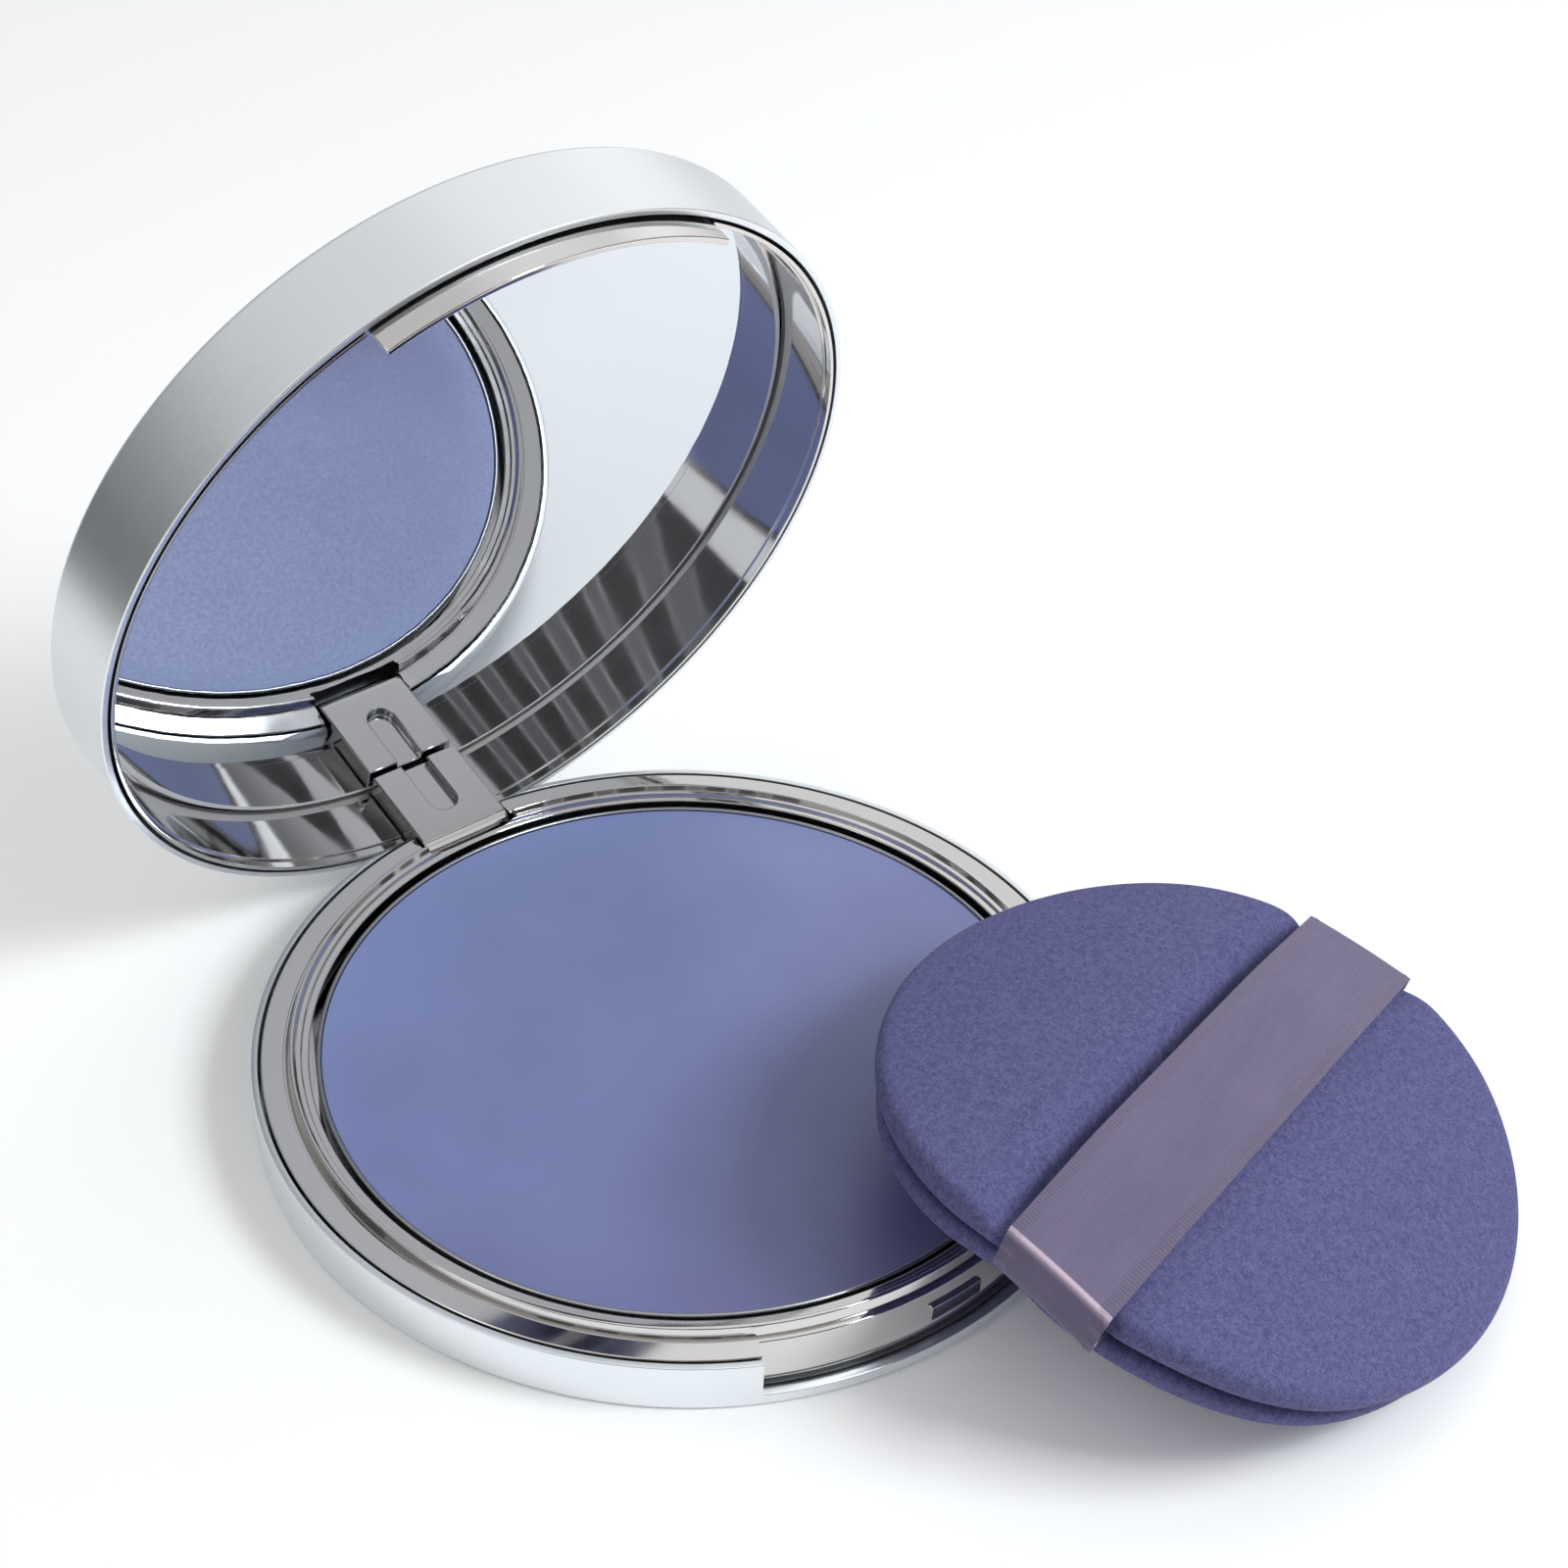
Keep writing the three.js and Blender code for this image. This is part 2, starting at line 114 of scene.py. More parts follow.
# ---- outlines and meshes --------------------------------------------------------------------
def rounded(corners, closed=False, steps=6):
    """An outline whose (r, z, fillet) corners are rounded by arcs. Corners without a fillet stay."""
    points = []
    count = len(corners)
    for i, corner in enumerate(corners):
        here = Vector(corner[:2])
        fillet = corner[2] if len(corner) > 2 else 0
        if not fillet or (not closed and i in (0, count - 1)):
            points.append(here)
            continue
        before = (Vector(corners[i - 1][:2]) - here).normalized()
        after = (Vector(corners[(i + 1) % count][:2]) - here).normalized()
        half = before.angle(after) / 2
        reach = fillet / math.tan(half)
        centre = here + (before + after).normalized() * fillet / math.sin(half)
        first = here + before * reach - centre
        turn = first.angle_signed(here + after * reach - centre)
        for k in range(steps + 1):
            angle = -turn * k / steps
            c, s = math.cos(angle), math.sin(angle)
            points.append(centre + Vector((first.x * c - first.y * s, first.x * s + first.y * c)))
    return [tuple(p) for p in points]


def turn_angles(cuts=(), steps=TURN_STEPS):
    """Angles of a full turn, with a pair of close angles at each cut."""
    angles = list(np.linspace(-math.pi, math.pi, steps, endpoint=False))
    for cut in cuts:
        angles = [a for a in angles if abs(a - cut) > 0.3 * 2 * math.pi / steps]
        angles += [cut - EDGE_ANGLE / 2, cut + EDGE_ANGLE / 2]
    return sorted(angles)


def add_mesh(name, points, faces, material):
    """A mesh object in flat or shut coordinates, with its faces pointing out."""
    mesh = bpy.data.meshes.new(name)
    mesh.from_pydata([tuple(p) for p in points], [], faces)
    work = bmesh.new()
    work.from_mesh(mesh)
    bmesh.ops.recalc_face_normals(work, faces=work.faces)
    work.to_mesh(mesh)
    work.free()
    mesh.materials.append(material)
    obj = bpy.data.objects.new(name, mesh)
    bpy.context.scene.collection.objects.link(obj)
    return obj


def settle(obj, warp=None, sharp_degrees=32):
    """Keeps each vertex's flat place for the material's grain, then moves the piece into place."""
    mesh = obj.data
    flat = np.empty(3 * len(mesh.vertices), np.float32)
    mesh.vertices.foreach_get("co", flat)
    grain = mesh.attributes.new("grain", "FLOAT_VECTOR", "POINT")
    grain.data.foreach_set("vector", flat)
    if warp:
        for vertex in mesh.vertices:
            vertex.co = warp(vertex.co)
    smooth(mesh, sharp_degrees)
    return obj


def smooth(mesh, sharp_degrees=32):
    """Shades the mesh smooth, with sharp edges where it turns by more than sharp_degrees."""
    for polygon in mesh.polygons:
        polygon.use_smooth = True
    mesh.set_sharp_from_angle(angle=math.radians(sharp_degrees))


def even_normals(obj):
    """Keeps the shading of flat faces flat beside their rounded edges."""
    modifier = obj.modifiers.new("even normals", "WEIGHTED_NORMAL")
    modifier.keep_sharp = True
    modifier.weight = 80
    return obj


def revolve(name, outline_at, material, cuts=(), steps=TURN_STEPS):
    """Turns an outline about Z. outline_at(angle) gives the same number of points at each angle."""
    angles = turn_angles(cuts, steps)
    first = outline_at(angles[0])
    on_axis = [r < 1e-7 for r, _ in first]
    rings = len(angles)
    points, index = [], np.zeros((rings, len(first)), int)
    for i, angle in enumerate(angles):
        for j, (r, z) in enumerate(outline_at(angle)):
            if on_axis[j] and i:
                index[i, j] = index[0, j]
                continue
            index[i, j] = len(points)
            points.append((r * math.cos(angle), r * math.sin(angle), z))
    closed = not on_axis[0]
    faces = []
    for i in range(rings):
        k = (i + 1) % rings
        for j in range(len(first) if closed else len(first) - 1):
            m = (j + 1) % len(first)
            corners = [index[i, j], index[k, j], index[k, m], index[i, m]]
            face = [int(c) for n, c in enumerate(corners) if c not in corners[:n]]
            if len(face) > 2:
                faces.append(face)
    return add_mesh(name, points, faces, material)


def in_span(angle, centre, half):
    """True where angle lies within half of centre."""
    away = (angle - centre + math.pi) % (2 * math.pi) - math.pi
    return abs(away) < half


def shut_to_open(point):
    """Moves a point of the shut lid to where it is with the lid open."""
    return LID_PLACE @ point


def prism(name, outline, place):
    """A closed solid of an outline of 2-D points, from place(u, v, 0) to place(u, v, 1)."""
    n = len(outline)
    points = [place(u, v, side) for side in (0, 1) for u, v in outline]
    faces = [tuple(range(n)), tuple(range(2 * n - 1, n - 1, -1))]
    faces += [(i, n + i, n + (i + 1) % n, (i + 1) % n) for i in range(n)]
    return add_mesh(name, points, faces, CHROME)


def along_x(half):
    """Sweeps a (y, z) outline from -half to +half along X."""
    return lambda u, v, side: Vector((half * (2 * side - 1), u, v))


def cut_away(obj, *cutters):
    """Subtracts the cutters from obj and removes them."""
    for cutter in cutters:
        cut = obj.modifiers.new("cut", "BOOLEAN")
        cut.object = cutter
        cut.solver = "EXACT"
        graph = bpy.context.evaluated_depsgraph_get()
        made = bpy.data.meshes.new_from_object(obj.evaluated_get(graph))
        obj.modifiers.clear()
        obj.data = made
        bpy.data.objects.remove(cutter)
    return obj


CUTTER_BACK = CASE_R + 2 * MM     # the base's cutters reach past it, this far back
CUTTER_TOP = 9 * MM               # and this high


def hinge_relief():
    """The space behind the hinge that the lid's rear wall swings through."""
    arc = np.linspace(0, math.pi / 2, 25)
    outline = [(HINGE.y + BARREL_R * math.sin(a), HINGE.z + BARREL_R * math.cos(a)) for a in arc]
    outline += [(CUTTER_BACK, HINGE.z), (CUTTER_BACK, CUTTER_TOP), (HINGE.y, CUTTER_TOP)]
    return prism("hinge_relief", outline, along_x(RELIEF_HALF))


def knuckle_slot(bottom):
    """The slot in the base's rear that the knuckle turns in."""
    front = KNUCKLE_LOW.y - KNUCKLE_GAP
    outline = [
        (front, bottom), (CUTTER_BACK, bottom), (CUTTER_BACK, CUTTER_TOP), (front, CUTTER_TOP)]
    return prism("knuckle_slot", outline, along_x(KNUCKLE_HIGH.x + KNUCKLE_GAP))


# ---- materials ------------------------------------------------------------------------------
def srgb(r, g, b):
    """A colour given as 0-255 display values, in linear light."""
    def linear(v):
        v /= 255
        return v / 12.92 if v <= 0.04045 else ((v + 0.055) / 1.055) ** 2.4
    return (linear(r), linear(g), linear(b), 1)


class NodeTree:
    """Adds nodes whose inputs are given as numbers or as other nodes' outputs."""

    def __init__(self, tree):
        self.nodes = tree.nodes
        self.links = tree.links

    def feed(self, socket, value):
        """Links another node's output to the socket, or sets the socket to a constant."""
        if isinstance(value, bpy.types.NodeSocket):
            self.links.new(value, socket)
        else:
            socket.default_value = value

    def add(self, kind, inputs=None, **settings):
        node = self.nodes.new(kind)
        for key, value in settings.items():
            setattr(node, key, value)
        for key, value in (inputs or {}).items():
            self.feed(node.inputs[key], value)
        return node

    def maths(self, operation, *values):
        return self.add("ShaderNodeMath", dict(enumerate(values)), operation=operation).outputs["Value"]

    def spread(self, value, low, high, start=0.3, stop=0.7, smooth=False):
        """Maps the range start..stop of a value to low..high."""
        node = self.add("ShaderNodeMapRange", {
            "Value": value, "From Min": start, "From Max": stop, "To Min": low, "To Max": high,
        }, interpolation_type="SMOOTHSTEP" if smooth else "LINEAR")
        return node.outputs["Result"]


class Surface(NodeTree):
    """A node material with one Principled shader."""

    def __init__(self, name, **sockets):
        self.material = bpy.data.materials.new(name)
        self.material.use_nodes = True
        super().__init__(self.material.node_tree)
        self.shader = self.nodes["Principled BSDF"]
        for socket, value in sockets.items():
            self.shader.inputs[socket.replace("_", " ")].default_value = value

    def grain(self, scale):
        """The piece's own flat coordinates, scaled."""
        place = self.add("ShaderNodeAttribute", attribute_name="grain")
        node = self.add("ShaderNodeMapping", {"Vector": place.outputs["Vector"], "Scale": scale})
        return node.outputs["Vector"]

    def noise(self, scale, detail=2.0, roughness=0.5):
        node = self.add("ShaderNodeTexNoise", {
            "Vector": self.grain(scale), "Scale": 1.0, "Detail": detail, "Roughness": roughness})
        return node.outputs["Fac"]

    def blend(self, value, first, second):
        node = self.add("ShaderNodeMix", data_type="RGBA")
        for socket, given in zip([s for s in node.inputs if s.enabled], (value, first, second)):
            self.feed(socket, given)
        return next(s for s in node.outputs if s.enabled)

    def bump(self, height, distance, strength=1.0, under=None):
        inputs = {"Height": height, "Distance": distance, "Strength": strength}
        if under is not None:
            inputs["Normal"] = under
        return self.add("ShaderNodeBump", inputs).outputs["Normal"]

    def set(self, socket, value):
        self.links.new(value, self.shader.inputs[socket])


def satin_metal():
    """Blasted metal with fine streaks round the case."""
    s = Surface("satin_metal", Metallic=1.0, Anisotropic=0.35)
    streaks = s.noise((420, 420, 9000), 3.0, 0.7)
    blasted = s.noise((3200, 3200, 1100), 2.0)
    patches = s.noise((60, 60, 60), 1.0)
    s.set("Base Color", s.blend(patches, srgb(233, 237, 240), srgb(239, 243, 246)))
    s.set("Roughness", s.spread(streaks, 0.33, 0.39))
    s.set("Normal", s.bump(blasted, 0.006 * MM, under=s.bump(streaks, 0.004 * MM)))
    return s.material


def chrome():
    """Polished metal with a slight haze and a slight unevenness."""
    s = Surface("chrome", Metallic=1.0, Base_Color=srgb(215, 212, 210))
    haze = s.noise((300, 300, 300), 3.0)
    s.set("Roughness", s.spread(haze, 0.05, 0.09))
    s.set("Normal", s.bump(s.noise((160, 160, 160), 1.0), 0.01 * MM))
    return s.material


def mirror_silver():
    s = Surface("mirror_silver", Metallic=1.0, Base_Color=srgb(221, 225, 231))
    s.set("Roughness", s.spread(s.noise((200, 200, 200)), 0.008, 0.02))
    return s.material


def ground_glass():
    """The mirror's ground edge: pale and frosted."""
    s = Surface("ground_glass", Base_Color=srgb(244, 247, 249))
    s.set("Roughness", s.spread(s.noise((3000, 3000, 3000)), 0.35, 0.5))
    return s.material


def pressed_aluminium():
    s = Surface("pressed_aluminium", Metallic=1.0, Base_Color=srgb(176, 177, 182))
    lines = s.noise((40, 40, 5000), 2.0)
    s.set("Roughness", s.spread(lines, 0.2, 0.32))
    s.set("Normal", s.bump(lines, 0.003 * MM))
    return s.material


def drawn_steel():
    s = Surface("drawn_steel", Metallic=1.0, Base_Color=srgb(176, 177, 180))
    lines = s.noise((40, 4000, 4000), 2.0)
    s.set("Roughness", s.spread(lines, 0.25, 0.4))
    return s.material


def adhesive():
    s = Surface("adhesive", Roughness=0.7)
    s.set("Base Color", s.blend(s.noise((900, 900, 900)), srgb(222, 218, 205), srgb(236, 233, 224)))
    return s.material


def cream():
    """Silky cream, faintly clouded, with painted shade: darker and more violet towards the front, where
    the puff's shadow falls, and lighter and bluer towards the hinge.
    """
    s = Surface("cream", Subsurface_Weight=0.12, Subsurface_Scale=0.6 * MM, Specular_IOR_Level=0.8)
    s.shader.inputs["Subsurface Radius"].default_value = (1.0, 1.0, 1.3)
    broad = s.noise((70, 70, 70), 2.0)
    fine = s.noise((2500, 2500, 2500), 3.0)
    place = s.add("ShaderNodeAttribute", attribute_name="grain").outputs["Vector"]
    # Painted shade: the colour runs from pale blue at the hinge to darker violet at the front, where
    # the puff's shadow falls; the broad noise adds real clouding.
    forward = s.add("ShaderNodeVectorMath", {0: place, 1: (0.1, -0.99, 0)}, operation="DOT_PRODUCT")
    painted_shade_slope = s.spread(forward.outputs["Value"], 0.0, 0.8, -CREAM_HIGH.x, CREAM_HIGH.x)
    painted_shade_and_clouds = s.maths("ADD", painted_shade_slope, s.spread(broad, 0.0, 0.2))
    s.set("Base Color", s.blend(painted_shade_and_clouds, srgb(131, 145, 194), srgb(92, 91, 140)))
    s.set("Roughness", s.spread(fine, 0.4, 0.5))
    s.set("Normal", s.bump(fine, 0.005 * MM, under=s.bump(broad, 0.05 * MM)))
    return s.material


def foam_cloth():
    """Fine flocked cloth over foam: short pile with tiny pits."""
    s = Surface("foam_cloth", Roughness=0.9, Sheen_Weight=0.12, Sheen_Roughness=0.45)
    s.shader.inputs["Sheen Tint"].default_value = srgb(190, 190, 220)
    s.shader.inputs["Specular IOR Level"].default_value = 0.2
    pile = s.noise((5200, 5200, 5200), 3.0, 0.6)
    clumps = s.noise((1900, 1900, 1900), 3.0, 0.6)
    tone = s.maths("ADD", s.maths("MULTIPLY", pile, 0.6), s.maths("MULTIPLY", clumps, 0.4))
    shade = s.spread(tone, 0.0, 1.0, 0.39, 0.61)
    s.set("Base Color", s.blend(shade, srgb(70, 71, 114), srgb(100, 99, 141)))
    s.set("Normal", s.bump(pile, 0.06 * MM, under=s.bump(clumps, 0.05 * MM)))
    return s.material


def ribbon_satin():
    """Woven satin: fine threads along the ribbon, crossed by ribs that show most at its selvages."""
    s = Surface(
        "ribbon_satin", Roughness=0.38, Sheen_Weight=0.15, Sheen_Roughness=0.4, Anisotropic=0.4)
    s.shader.inputs["Sheen Tint"].default_value = srgb(240, 205, 225)
    s.shader.inputs["Specular Tint"].default_value = srgb(255, 226, 236)
    place = s.add("ShaderNodeAttribute", attribute_name="grain")
    flat = s.add("ShaderNodeSeparateXYZ", {"Vector": place.outputs["Vector"]})
    along, across = flat.outputs["X"], flat.outputs["Y"]
    threads = s.noise((350, 7000, 350), 2.0)
    bands, rib_pitch = 3.2, 0.36 * MM    # the wave node draws about this many bands at a scale of 1
    ribs = s.add("ShaderNodeTexWave", {
        "Vector": s.grain((1, 1, 1)), "Scale": 1 / (bands * rib_pitch), "Distortion": 0.8,
        "Detail": 1.0, "Detail Scale": 400.0}, bands_direction="X").outputs["Fac"]
    edge, inner, outer = 0.5 * RIBBON_W, 1.3 * MM, 0.9 * MM
    selvage = s.spread(s.maths("ABSOLUTE", across), 0.15, 1.0, edge - inner, edge - outer, True)
    weave = s.maths("ADD", s.maths("MULTIPLY", ribs, selvage), threads)
    broad = s.maths("MULTIPLY", s.noise((90, 240, 90), 2.0), 0.4)
    shade = s.maths("ADD", broad, s.maths("MULTIPLY", weave, 0.4))
    cloth = s.blend(s.spread(shade, 0.0, 1.0, 0.25, 0.85), srgb(91, 86, 114), srgb(112, 106, 133))
    # Painted highlight: a pale pink line along each fold of the ribbon, standing in for light caught by
    # the fold.
    from_fold = s.maths("ABSOLUTE", s.maths("ADD", s.maths("ABSOLUTE", along), -RIBBON_FOLD))
    painted_fold_highlight = s.spread(from_fold, 0.8, 0.0, 0.05 * MM, 0.32 * MM, True)
    s.set("Base Color", s.blend(painted_fold_highlight, cloth, srgb(222, 200, 216)))
    s.set("Normal", s.bump(weave, 0.05 * MM))
    return s.material


def floor_paint():
    s = Surface("floor_paint", Roughness=0.9, Emission_Color=(1, 1, 1, 1), Emission_Strength=0.04)
    s.set("Base Color", s.blend(s.noise((8, 8, 8)), (0.93, 0.93, 0.93, 1), (0.95, 0.95, 0.95, 1)))
    return s.material


SATIN = satin_metal()
CHROME = chrome()
MIRROR = mirror_silver()
GROUND_GLASS = ground_glass()
ALUMINIUM = pressed_aluminium()
STEEL = drawn_steel()
GLUE = adhesive()
CREAM = cream()
FOAM = foam_cloth()
RIBBON = ribbon_satin()


# ---- base -----------------------------------------------------------------------------------
def stands_for(obj, body, slot, *nodes):
    """Rides the piece on its body and takes the nodes' place."""
    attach(obj, body)
    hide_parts(*nodes)
    return obj


def base_shell():
    """The satin cup, lower where the thumb notch is."""
    wall_in = CASE_R - SIDE_WALL

    def outline(angle):
        top = NOTCH_BOTTOM if in_span(angle, FRONT, NOTCH_HALF) else BASE_H
        return rounded([
            (0, 0), (CASE_R, 0, 0.4 * MM), (CASE_R, top, 0.1 * MM), (wall_in, top, 0.05 * MM),
            (wall_in, BASE_FLOOR), (0, BASE_FLOOR)])

    shell = revolve("case_base", outline, SATIN, [FRONT - NOTCH_HALF, FRONT + NOTCH_HALF])
    cut_away(shell, hinge_relief(), knuckle_slot(BASE_FLOOR + 0.02 * MM))
    even_normals(settle(shell))
    return stands_for(shell, "base", "satin_case", "base_shell")


def base_bezel():
    """Ledge, raised collar, two steps and the well, with the wall behind the notch."""
    collar, well, high, ledge = COLLAR_R, WELL_R, COLLAR_TOP, BASE_H
    well_floor = 1.3 * MM

    def outline(angle):
        foot, ledge_out, skirt, wall = BEZEL_R, BEZEL_R, 3.6 * MM, well + 0.55 * MM
        if in_span(angle, FRONT, NOTCH_HALF):
            foot, ledge_out, skirt, wall = 34.1 * MM, 33.1 * MM, BEZEL_UNDER + 0.1 * MM, 32.6 * MM
        return rounded([
            (0, BEZEL_UNDER), (wall, BEZEL_UNDER), (wall, skirt), (foot, skirt),
            (ledge_out, ledge, 0.12 * MM), (collar + 0.5 * MM, ledge),
            (collar + 0.42 * MM, ledge, 0.03 * MM),
            (collar + 0.38 * MM, ledge - 0.12 * MM), (collar + 0.26 * MM, ledge - 0.12 * MM),
            (collar + 0.22 * MM, ledge - 0.02 * MM, 0.05 * MM), (collar - 0.1 * MM, high, 0.12 * MM),
            (collar - 0.4 * MM, high, 0.1 * MM), (collar - 0.62 * MM, high - 0.42 * MM, 0.04 * MM),
            (collar - 1.0 * MM, high - 0.44 * MM, 0.05 * MM),
            (collar - 1.08 * MM, high - 0.75 * MM, 0.04 * MM),
            (well, high - 0.78 * MM, 0.12 * MM), (well, well_floor), (0, well_floor)])

    bezel = revolve("chrome_bezel", outline, CHROME, [FRONT - NOTCH_HALF, FRONT + NOTCH_HALF])
    cut_away(bezel, hinge_relief(), knuckle_slot(0))
    even_normals(settle(bezel))
    return stands_for(bezel, "base", "chrome_trim", "base_bezel")


def catch_nib():
    """The small catch that stands out of the wall in the notch."""
    inner, outer, low, high = 33.0 * MM, 33.8 * MM, 1.9 * MM, 3.4 * MM
    nib = curved_block("catch_nib", inner, outer, math.radians(4.2), low, high, CHROME, steps=8)
    soften(settle(nib), 0.06 * MM)
    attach(nib, "base")
    return nib


def curved_block(name, inner, outer, half, low, high, material, steps=48):
    """A block bent round the front of the case."""
    points = []
    for k in range(steps + 1):
        angle = FRONT - half + 2 * half * k / steps
        for r, z in ((inner, low), (outer, low), (outer, high), (inner, high)):
            points.append(Vector((r * math.cos(angle), r * math.sin(angle), z)))
    faces = [(0, 1, 2, 3), tuple(4 * steps + j for j in (3, 2, 1, 0))]
    for k in range(steps):
        for j in range(4):
            m = (j + 1) % 4
            faces.append((4 * k + j, 4 * k + 4 + j, 4 * k + 4 + m, 4 * k + m))
    return add_mesh(name, points, faces, material)


def soften(obj, width, segments=3, degrees=40):
    """Rounds the edges that turn by more than this many degrees."""
    bevel = obj.modifiers.new("soft edges", "BEVEL")
    bevel.width = width
    bevel.segments = segments
    bevel.limit_method = "ANGLE"
    bevel.angle_limit = math.radians(degrees)
    even_normals(obj)


def pan_tray():
    """The pressed pan, whose bright rim shows round the cream."""
    inside = PAN_HIGH.x - 0.38 * MM
    floor = PAN_LOW.z + 0.35 * MM
    corners = rounded([
        (0, PAN_LOW.z), (PAN_HIGH.x, PAN_LOW.z, 0.5 * MM), (PAN_HIGH.x, PAN_HIGH.z, 0.17 * MM),
        (inside, PAN_HIGH.z, 0.17 * MM), (inside, floor, 0.3 * MM), (0, floor)])
    pan = revolve("pan", lambda angle: corners, ALUMINIUM)
    even_normals(settle(pan))
    return stands_for(pan, "base", "pan_metal", "pan_tray")


def cream_fill():
    """Cream poured level, with the low rim that it leaves against the pan."""
    rim, top = CREAM_HIGH.x, CREAM_HIGH.z
    depth, width, steps = 0.16 * MM, 1.1 * MM, 24
    dip = []
    for k in range(steps):
        inward = rim * k / steps
        dip.append((rim - inward, top - depth * (1 - math.exp(-inward / width))))
    corners = [(0, CREAM_LOW.z), (rim, CREAM_LOW.z), *dip, (0, dip[-1][1])]
    fill = revolve("cream", lambda angle: corners, CREAM)
    even_normals(settle(fill))
    return stands_for(fill, "base", "cream", "cream_fill")


# ---- lid ------------------------------------------------------------------------------------
def lid_shell():
    """The satin outer shell, whose flat top is the lid's back when it stands open."""
    wall_in = CASE_R - SIDE_WALL
    ceiling = LID_TOP - SIDE_WALL
    corners = rounded([
        (0, ceiling), (wall_in, ceiling), (wall_in, LID_RIM, 0.06 * MM), (CASE_R, LID_RIM, 0.14 * MM),
        (CASE_R, LID_TOP, 0.55 * MM), (0, LID_TOP)], steps=8)
    shell = revolve("case_lid", lambda angle: corners, SATIN)
    even_normals(settle(shell, shut_to_open))
    return stands_for(shell, "lid", "satin_case", "lid_shell")


def lid_liner():
    """The chrome inner wall and the flange under the mirror, with room for tongue and knuckle."""
    outer, top = LINER_HIGH.x, LINER_HIGH.z
    flange = top - 0.3 * MM
    pocket = TONGUE_HALF + math.radians(0.4)
    room = math.asin((KNUCKLE_HIGH.x + 0.15 * MM) / LINER_R)

    def outline(angle):
        rim = LID_RIM
        if in_span(angle, FRONT, pocket):
            rim = TONGUE_HIGH.z + 0.1 * MM
        if in_span(angle, REAR, room):
            rim = MIRROR_LOW.z - 0.1 * MM
        step = max(rim + 0.15 * MM, LID_RIM + 0.8 * MM)
        return rounded([
            (LINER_R + 0.2 * MM, rim, 0.05 * MM), (outer, rim, 0.05 * MM), (outer, top),
            (FLANGE_R, top), (FLANGE_R, flange), (LINER_R, flange), (LINER_R, step, 0.08 * MM),
            (LINER_R + 0.2 * MM, step - 0.1 * MM, 0.03 * MM)], closed=True)

    cuts = [FRONT - pocket, FRONT + pocket, REAR - room, REAR + room]
    liner = revolve("lid_inner_wall", outline, CHROME, cuts)
    even_normals(settle(liner, shut_to_open))
    return stands_for(liner, "lid", "chrome_trim", "lid_liner")


def latch_tongue():
    """The tongue that drops into the thumb notch as the lid shuts."""
    outer = LINER_HIGH.x
    tongue = curved_block("tongue", LINER_R, outer, TONGUE_HALF, TONGUE_LOW.z, TONGUE_HIGH.z, CHROME)
    soften(settle(tongue, shut_to_open), 0.12 * MM)
    return stands_for(tongue, "lid", "chrome_trim", "latch_tongue")


def mirror_glass():
    """The mirror, whose slanted edge is ground."""
    r, low, high = MIRROR_HIGH.x, MIRROR_LOW.z, MIRROR_HIGH.z
    slant = 0.55 * MM
    corners = rounded([
        (0, low), (r - slant, low, 0.02 * MM), (r, low + 0.16 * MM, 0.02 * MM), (r, high), (0, high)])
    glass = revolve("mirror", lambda angle: corners, MIRROR)
    glass.data.materials.append(GROUND_GLASS)
    for face in glass.data.polygons:
        if face.center.xy.length > r - 0.5 * MM and abs(face.normal.z) < 0.99:
            face.material_index = 1
    settle(glass, shut_to_open, sharp_degrees=10)
    return stands_for(glass, "lid", "mirror", "mirror_glass")


def hinge_knuckle():
    """A block with rounded edges that turns on the pin, with a finger-shaped recess in its face."""
    half = KNUCKLE_HIGH.x
    front, top, back = KNUCKLE_LOW.y, KNUCKLE_HIGH.z, 34.0 * MM
    radius = HINGE.z - KNUCKLE_LOW.z
    side = [(front, top), (front, HINGE.z + 0.1 * MM)]
    turns = [math.radians(degrees) for degrees in range(15, 91, 15)]
    reach = HINGE.y - front
    side += [(HINGE.y - reach * math.cos(a), HINGE.z - radius * math.sin(a)) for a in turns]
    side += [(HINGE.y + radius * math.sin(a), HINGE.z - radius * math.cos(a)) for a in turns]
    side += [(back, LID_RIM + 0.1 * MM), (back, top)]
    block = prism("knuckle", side, along_x(half))
    cut_away(block, recess_cutter(front, top))
    soften(settle(block, shut_to_open), 0.14 * MM)
    return stands_for(block, "lid", "chrome_trim", "hinge_knuckle")


def recess_cutter(front, top):
    """A slot with a round end, open towards the mirror."""
    half, depth, foot = 1.3 * MM, 0.8 * MM, 6.2 * MM
    outline = [(half, top + MM)]
    outline += [(half * math.cos(a), foot + half * math.sin(a)) for a in np.linspace(0, -math.pi, 17)]
    outline += [(-half, top + MM)]

    def place(u, v, side):
        return Vector((u, front - MM + side * (MM + depth), v))

    return prism("recess_cutter", outline, place)


# ---- puff -----------------------------------------------------------------------------------
def puff_axes():
    """The ribbon's direction, the raised side's direction and the back's direction."""
    ribbon = Vector((math.cos(PUFF_TURN), math.sin(PUFF_TURN), 0)) * math.cos(PUFF_DIP)
    ribbon.z = -math.sin(PUFF_DIP)
    level = Vector((-math.sin(PUFF_TURN), math.cos(PUFF_TURN), 0))
    raised = level * math.cos(PUFF_LEAN) + ribbon.cross(level) * math.sin(PUFF_LEAN)
    return ribbon, raised, ribbon.cross(raised)


PUFF_AXES = puff_axes()


def drooped(point):
    """Bends a point of the flat puff down on both sides of the ribbon and puts it in place."""
    angle = point.y / PUFF_BEND_R
    radius = PUFF_BEND_R + point.z
    along, raised, back = PUFF_AXES
    return (PUFF_CENTRE + along * point.x + raised * radius * math.sin(angle)
            + back * (radius * math.cos(angle) - PUFF_BEND_R))


def bell(x, centre, width):
    """1 at the centre, falling smoothly to 0 about two widths away."""
    return math.exp(-((x - centre) / width) ** 2)


